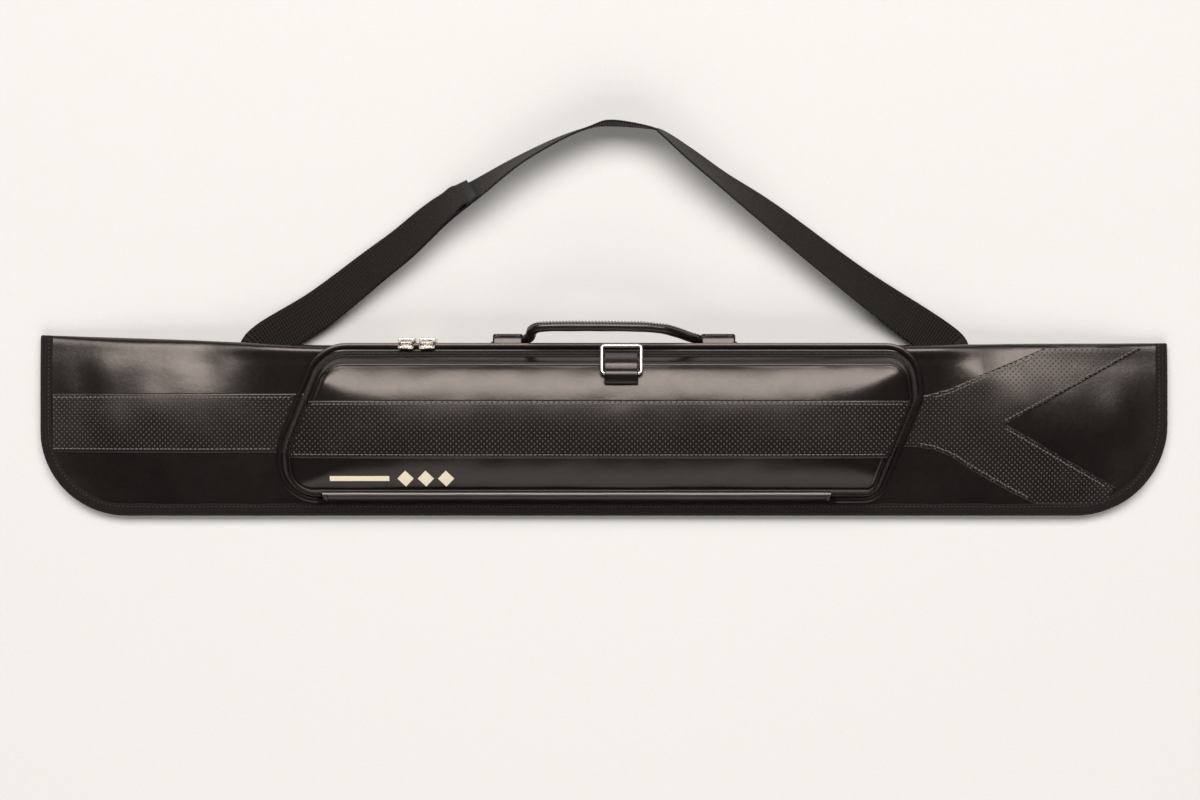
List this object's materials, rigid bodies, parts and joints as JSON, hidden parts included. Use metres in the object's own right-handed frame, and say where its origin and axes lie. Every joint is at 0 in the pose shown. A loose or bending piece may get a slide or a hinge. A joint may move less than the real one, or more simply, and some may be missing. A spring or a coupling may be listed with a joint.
{
  "type": "soft billiard cue case",
  "caption": "Soft padded case for billiard cues with a zipped domed lid, edge binding, dotted trim band, carry handle, front ring and shoulder strap.",
  "frame": {"origin": "centre of the flat back face that rests on the table", "axes": "+X along the case, +Y towards the folded spine with the handle, +Z away from the table"},
  "size_m": [0.8524, 0.2965, 0.0526],
  "materials": {
    "case_leather": "soft black synthetic leather, fine grain, satin",
    "dotted_leather": "black synthetic leather embossed with small dots",
    "piping_leather": "smooth glossy black piping",
    "binding_tape": "woven black edge binding",
    "padding_foam": "grey closed-cell foam",
    "lining_cloth": "black nylon lining cloth",
    "zip_tape": "black woven zip tape",
    "zip_coil": "black nylon coil",
    "emblem_print": "cream raised print",
    "nickel_metal": "polished nickel plate",
    "black_metal": "black enamel on steel",
    "core_rope": "twisted cotton rope",
    "strap_web": "ribbed black webbing"
  },
  "bodies": {
    "case_body": {"back_panel": "case_leather", "front_panel": "case_leather", "foam_padding": "padding_foam", "edge_binding": "binding_tape", "trim_band_left": "dotted_leather", "trim_tail_right": "dotted_leather", "cue_sleeve_left": "lining_cloth", "cue_sleeve_right": "lining_cloth", "zip_tape_body": "zip_tape", "zip_coil_body": "zip_coil", "hinge_strip": "case_leather", "hinge_end_tabs": "case_leather", "handle_tab_left": "case_leather", "handle_tab_right": "case_leather", "strap_tab_left": "case_leather", "strap_tab_right": "case_leather"},
    "lid": {"zip_coil_lid": "zip_coil", "zip_tape_lid": "zip_tape", "lid_gusset": "case_leather", "lid_face": "case_leather", "lid_foam": "padding_foam", "lid_lining": "lining_cloth", "lid_trim_band": "dotted_leather", "emblem": "emblem_print", "hinge_piping": "piping_leather", "ring_chape": "case_leather"},
    "front_loop": {"front_ring": "nickel_metal"},
    "zip_slider_left": {"slider_left": "nickel_metal"},
    "zip_slider_right": {"slider_right": "nickel_metal"},
    "zip_pull_left": {"pull_left": "nickel_metal"},
    "zip_pull_right": {"pull_right": "nickel_metal"},
    "handle": {"handle_core": "core_rope", "handle_grip": "case_leather"},
    "strap": {"strap_webbing": "strap_web", "strap_return": "strap_web", "strap_adjuster": "black_metal", "strap_ring_left": "nickel_metal", "strap_ring_right": "nickel_metal", "strap_loop_left": "strap_web", "strap_loop_right": "strap_web"}
  },
  "joints": [
    {"name": "lid_hinge", "type": "hinge", "parent": "case_body", "child": "lid", "pos_m": [0, -0.05133, 0.01111], "axis": [1, 0, 0], "range_deg": [0, 95]},
    {"name": "front_ring_swing", "type": "hinge", "parent": "lid", "child": "front_loop", "pos_m": [0.0128, 0.0416, 0.0495], "axis": [1, 0, 0], "range_deg": [0, 145]},
    {"name": "slider_left_slide", "type": "slide", "parent": "case_body", "child": "zip_slider_left", "axis": [1, 0, 0], "range_m": [-0.04, 0]},
    {"name": "slider_right_slide", "type": "slide", "parent": "case_body", "child": "zip_slider_right", "axis": [1, 0, 0], "range_m": [0, 0.036]},
    {"name": "pull_left_swing", "type": "hinge", "parent": "zip_slider_left", "child": "zip_pull_left", "pos_m": [-0.1472, 0.06389, 0.03194], "axis": [1, 0, 0], "range_deg": [0, 100]},
    {"name": "pull_right_swing", "type": "hinge", "parent": "zip_slider_right", "child": "zip_pull_right", "pos_m": [-0.1316, 0.06389, 0.03194], "axis": [1, 0, 0], "range_deg": [0, 100]},
    {"name": "handle_swing", "type": "hinge", "parent": "case_body", "child": "handle", "pos_m": [0, 0.0668, 0.022], "axis": [1, 0, 0], "range_deg": [-45, 15]},
    {"name": "strap_swing", "type": "hinge", "parent": "case_body", "child": "strap", "pos_m": [0, 0.036, 0.0044], "axis": [1, 0, 0], "range_deg": [0, 8]}
  ]
}
